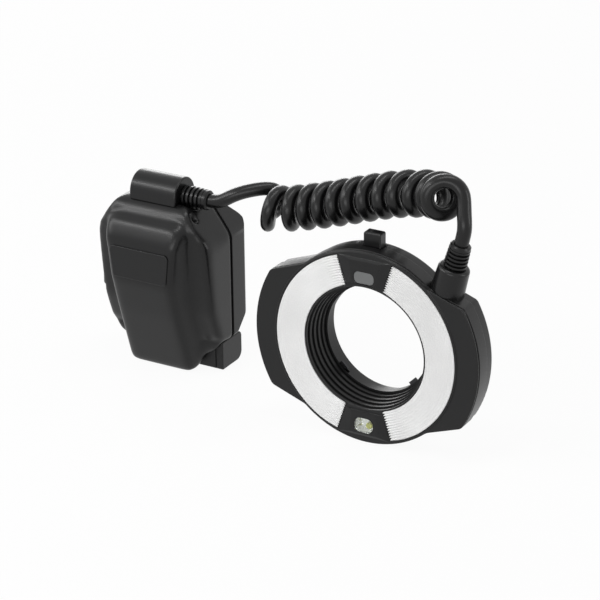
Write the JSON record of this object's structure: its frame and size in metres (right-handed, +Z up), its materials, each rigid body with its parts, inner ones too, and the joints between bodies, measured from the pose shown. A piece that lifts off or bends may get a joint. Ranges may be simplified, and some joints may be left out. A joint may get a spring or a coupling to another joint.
{
  "type": "macro ring flash",
  "caption": "Macro ring flash: a winged ring-shaped flash head with a lens bore, joined by a coiled cord to a control unit with a hot-shoe foot and rear controls.",
  "frame": {"origin": "on the floor, at the centre of the two units' footprint, cord left out", "axes": "+X from the control unit to the ring head, +Y from the side that faces the subject to the back of the units, +Z up"},
  "size_m": [0.2374, 0.0654, 0.1474],
  "materials": {
    "housing": "fine moulded texture, charcoal black",
    "strip": "smooth, black",
    "barrel": "flocked matt black with grooves",
    "collar": "satin, black",
    "window": "white diffuser with fine ribs",
    "reflector": "bright",
    "tube_glass": "clear",
    "lamp_bezel": "satin, black",
    "lamp_lens": "clear plastic, ribbed",
    "led": "greenish yellow",
    "circuit_board": "green solder mask",
    "release_tab": "satin, black",
    "latch_steel": "brushed",
    "screw": "black oxide",
    "cord": "semi-gloss, black",
    "name_panel": "satin, bare",
    "rear_panel": "satin, charcoal",
    "lcd_window": "clear",
    "lcd_module": "grey-green, blank",
    "button": "satin, dark grey",
    "dial": "satin, dark grey",
    "key_mat": "grey silicone",
    "cage": "black",
    "cell": "plain sleeve, unprinted",
    "contact": "plated",
    "capacitor": "sleeved can",
    "foot": "black",
    "shoe_plate": "brushed",
    "lock_lever": "satin, charcoal black"
  },
  "bodies": {
    "housings": {"ring_front_cover": "housing", "ring_rear_cover": "housing", "cord_boss": "housing", "control_front_cover": "housing", "control_rear_cover": "housing", "connector_housing": "housing", "parting_strip": "strip", "inner_barrel": "barrel", "lens_collar": "collar", "window_left": "window", "window_right": "window", "reflector_left": "reflector", "reflector_right": "reflector", "flash_tube_left": "tube_glass", "flash_tube_right": "tube_glass", "lamp_bezel_top": "lamp_bezel", "lamp_bezel_bottom": "lamp_bezel", "lamp_lens_top": "lamp_lens", "lamp_lens_bottom": "lamp_lens", "lamp_led_top": "led", "lamp_led_bottom": "led", "ring_board": "circuit_board", "control_board": "circuit_board", "release_springs": "latch_steel", "door_pin": "latch_steel", "ring_screws": "screw", "control_screws": "screw", "cord_lead_control": "cord", "cord_coil": "cord", "cord_lead_ring": "cord", "ring_strain_relief": "cord", "control_strain_relief": "cord", "name_panel": "name_panel", "rear_panel": "rear_panel", "lcd_window": "lcd_window", "lcd_module": "lcd_module", "key_mat": "key_mat", "battery_cage": "cage", "battery_cells": "cell", "battery_contacts": "contact", "shoe_pins": "contact", "main_capacitor": "capacitor", "foot_base": "foot", "shoe_plate": "shoe_plate"},
    "release_latch": {"release_button": "release_tab", "latch_yoke": "latch_steel"},
    "battery_door": {"battery_door": "housing"},
    "lock_lever": {"lock_lever": "lock_lever"},
    "lock_pin": {"lock_pin": "latch_steel"},
    "select_dial": {"select_dial": "dial"},
    "power_switch": {"power_switch": "dial"},
    "function_button_1": {"function_button_1": "button"},
    "function_button_2": {"function_button_2": "button"},
    "function_button_3": {"function_button_3": "button"},
    "function_button_4": {"function_button_4": "button"},
    "mode_button": {"mode_button": "button"},
    "lamp_button": {"lamp_button": "button"},
    "test_button": {"test_button": "button"},
    "set_button": {"set_button": "button"}
  },
  "joints": [
    {"name": "release_press", "type": "slide", "parent": "housings", "child": "release_latch", "axis": [0, 0, -1], "range_m": [0, 0.0025], "stiffness_N_per_m": 400, "springref_m": -0.001, "deforming": ["release_springs"]},
    {"name": "door_swing", "type": "hinge", "parent": "housings", "child": "battery_door", "pos_m": [-0.11745, 0.0095, 0.0431], "axis": [0, -1, 0], "range_deg": [0, 90]},
    {"name": "lever_turn", "type": "hinge", "parent": "housings", "child": "lock_lever", "pos_m": [-0.08375, 0.0151, 0.0091], "axis": [0, 0, 1], "range_deg": [0, 35]},
    {"name": "lock_pin_slide", "type": "slide", "parent": "housings", "child": "lock_pin", "axis": [0, 0, -1], "range_m": [0, 0.0018]},
    {"name": "dial_turn", "type": "hinge", "parent": "housings", "child": "select_dial", "pos_m": [-0.06975, 0.0309, 0.0424], "axis": [0, 1, 0], "continuous": true},
    {"name": "power_slide", "type": "slide", "parent": "housings", "child": "power_switch", "axis": [1, 0, 0], "range_m": [0, 0.005]},
    {"name": "function_1_press", "type": "slide", "parent": "housings", "child": "function_button_1", "axis": [0, -1, 0], "range_m": [0, 0.0005], "stiffness_N_per_m": 500, "springref_m": -0.0002},
    {"name": "function_2_press", "type": "slide", "parent": "housings", "child": "function_button_2", "axis": [0, -1, 0], "range_m": [0, 0.0005], "stiffness_N_per_m": 500, "springref_m": -0.0002},
    {"name": "function_3_press", "type": "slide", "parent": "housings", "child": "function_button_3", "axis": [0, -1, 0], "range_m": [0, 0.0005], "stiffness_N_per_m": 500, "springref_m": -0.0002},
    {"name": "function_4_press", "type": "slide", "parent": "housings", "child": "function_button_4", "axis": [0, -1, 0], "range_m": [0, 0.0005], "stiffness_N_per_m": 500, "springref_m": -0.0002},
    {"name": "mode_press", "type": "slide", "parent": "housings", "child": "mode_button", "axis": [0, -1, 0], "range_m": [0, 0.0005], "stiffness_N_per_m": 500, "springref_m": -0.0002},
    {"name": "lamp_press", "type": "slide", "parent": "housings", "child": "lamp_button", "axis": [0, -1, 0], "range_m": [0, 0.0005], "stiffness_N_per_m": 500, "springref_m": -0.0002},
    {"name": "test_press", "type": "slide", "parent": "housings", "child": "test_button", "axis": [0, -1, 0], "range_m": [0, 0.0005], "stiffness_N_per_m": 500, "springref_m": -0.0002},
    {"name": "set_press", "type": "slide", "parent": "housings", "child": "set_button", "axis": [0, -1, 0], "range_m": [0, 0.0005], "stiffness_N_per_m": 500, "springref_m": -0.0002}
  ],
  "couplings": [
    {"joint": "lock_pin_slide", "follows": "lever_turn", "m_per_rad": 0.002946}
  ]
}
